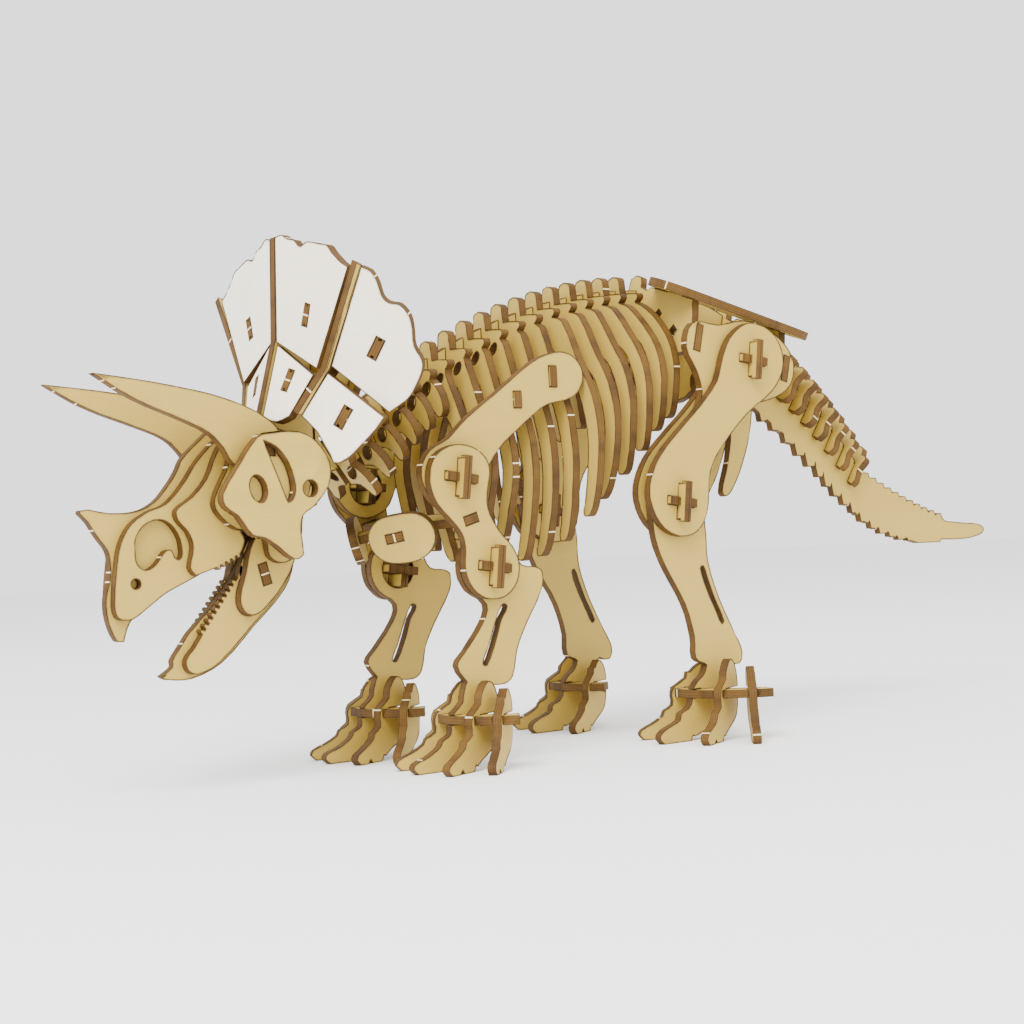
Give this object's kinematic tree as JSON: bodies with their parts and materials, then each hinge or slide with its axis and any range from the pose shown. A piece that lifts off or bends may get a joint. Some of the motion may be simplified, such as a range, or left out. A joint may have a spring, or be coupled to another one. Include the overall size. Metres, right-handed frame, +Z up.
{
  "type": "wooden 3d jigsaw model",
  "caption": "Triceratops skeleton slotted together from flat laser-cut plywood plates, with a hinged jaw and legs that turn on cross-shaped axles.",
  "frame": {"origin": "centre of the bounding box at ground level, under the feet", "axes": "-X towards the head, +X towards the tail, +Z up, the model's left side is -Y"},
  "size_m": [0.3576, 0.1174, 0.1516],
  "materials": {
    "plywood": "bare laser-cut birch plywood with charred edges",
    "plywood_pale": "bare pale plywood with charred edges"
  },
  "bodies": {
    "trunk": {"skull_core": "plywood", "nose_plates": "plywood", "maxilla_left": "plywood", "maxilla_right": "plywood", "brow_horn_left": "plywood", "brow_horn_right": "plywood", "cheek_left": "plywood", "cheek_right": "plywood", "skull_spacers": "plywood", "jaw_pin": "plywood", "frill_upper_left": "plywood_pale", "frill_upper_right": "plywood_pale", "frill_lower_left": "plywood_pale", "frill_lower_right": "plywood_pale", "frill_ribs_left": "plywood", "frill_ribs_right": "plywood", "frill_arches": "plywood", "spine_plate": "plywood", "neck_vertebrae": "plywood", "ribs_1": "plywood", "ribs_2": "plywood", "ribs_3": "plywood", "ribs_4": "plywood", "ribs_5": "plywood", "ribs_6": "plywood", "scapula_left": "plywood", "scapula_right": "plywood", "pelvis_frame": "plywood", "pelvis_sides": "plywood", "ilium_blades": "plywood", "ischia": "plywood", "tail_plate": "plywood", "tail_vertebrae": "plywood"},
    "jaw": {"jaw_core": "plywood", "jaw_side_left": "plywood", "jaw_side_right": "plywood"},
    "upper_arms": {"humerus_left": "plywood", "humerus_right": "plywood", "humerus_bar": "plywood", "coracoids": "plywood", "shoulder_axle_left": "plywood", "shoulder_axle_right": "plywood", "elbow_axle_left": "plywood", "elbow_axle_right": "plywood"},
    "forearm_l": {"forearm_left": "plywood", "front_foot_left": "plywood"},
    "forearm_r": {"forearm_right": "plywood", "front_foot_right": "plywood"},
    "thigh_l": {"femur_left": "plywood", "hip_axle_left": "plywood", "knee_axle_left": "plywood"},
    "thigh_r": {"femur_right": "plywood", "hip_axle_right": "plywood", "knee_axle_right": "plywood"},
    "shin_l": {"shin_left": "plywood", "rear_foot_left": "plywood"},
    "shin_r": {"shin_right": "plywood", "rear_foot_right": "plywood"}
  },
  "joints": [
    {"name": "jaw_hinge", "type": "hinge", "parent": "trunk", "child": "jaw", "pos_m": [-0.12185, 0, 0.0655], "axis": [0, 1, 0], "range_deg": [-8, 12]},
    {"name": "shoulders", "type": "hinge", "parent": "trunk", "child": "upper_arms", "pos_m": [-0.07485, 0, 0.0815], "axis": [0, 1, 0], "range_deg": [-6, 10]},
    {"name": "elbow_left", "type": "hinge", "parent": "upper_arms", "child": "forearm_l", "pos_m": [-0.06485, -0.02345, 0.056], "axis": [0, 1, 0], "range_deg": [-12, 12]},
    {"name": "elbow_right", "type": "hinge", "parent": "upper_arms", "child": "forearm_r", "pos_m": [-0.06485, 0.02345, 0.056], "axis": [0, 1, 0], "range_deg": [-12, 12]},
    {"name": "hip_left", "type": "hinge", "parent": "trunk", "child": "thigh_l", "pos_m": [0.03215, -0.0315, 0.115], "axis": [0, 1, 0], "range_deg": [-12, 3]},
    {"name": "hip_right", "type": "hinge", "parent": "trunk", "child": "thigh_r", "pos_m": [0.03215, 0.0315, 0.115], "axis": [0, 1, 0], "range_deg": [-12, 3]},
    {"name": "knee_left", "type": "hinge", "parent": "thigh_l", "child": "shin_l", "pos_m": [-0.00035, -0.0315, 0.072], "axis": [0, 1, 0], "range_deg": [-12, 12]},
    {"name": "knee_right", "type": "hinge", "parent": "thigh_r", "child": "shin_r", "pos_m": [-0.00035, 0.0315, 0.072], "axis": [0, 1, 0], "range_deg": [-12, 12]}
  ]
}
